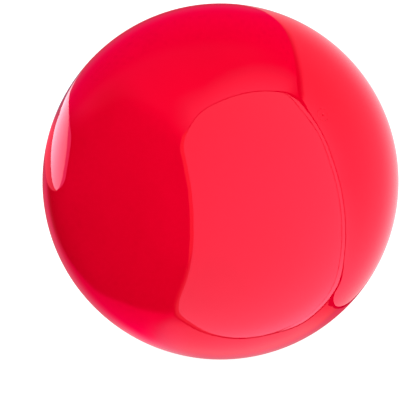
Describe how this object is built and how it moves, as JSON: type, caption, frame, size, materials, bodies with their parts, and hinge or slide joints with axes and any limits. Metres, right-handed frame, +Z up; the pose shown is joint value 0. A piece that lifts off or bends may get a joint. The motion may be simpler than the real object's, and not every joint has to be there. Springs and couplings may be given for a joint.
{
  "type": "rhythmic gymnastics ball",
  "caption": "Hollow gloss-lacquered rubber ball with a flush self-sealing needle valve, for rhythmic gymnastics.",
  "frame": {"origin": "centre of the ball", "axes": "+Z up with the ball at rest on the floor; the valve's axis lies in the XZ plane, 30 degrees above +X"},
  "size_m": [0.185, 0.185, 0.185],
  "materials": {
    "lacquer": "high gloss lacquer",
    "shell_rubber": "matte moulded",
    "seam_rubber": "matte",
    "patch_rubber": "matte",
    "valve_rubber": "satin",
    "core_rubber": "gloss head, satin stem"
  },
  "bodies": {
    "ball": {"gloss_skin": "lacquer", "shell_valve_half": "shell_rubber", "shell_plain_half": "shell_rubber", "seam_band": "seam_rubber", "balance_patch": "patch_rubber", "valve_housing": "valve_rubber"},
    "valve_core": {"valve_core": "core_rubber"}
  },
  "joints": [
    {"name": "valve_core_pull", "type": "slide", "parent": "ball", "child": "valve_core", "axis": [0.866, 0, 0.5], "range_m": [0, 0.018]}
  ]
}
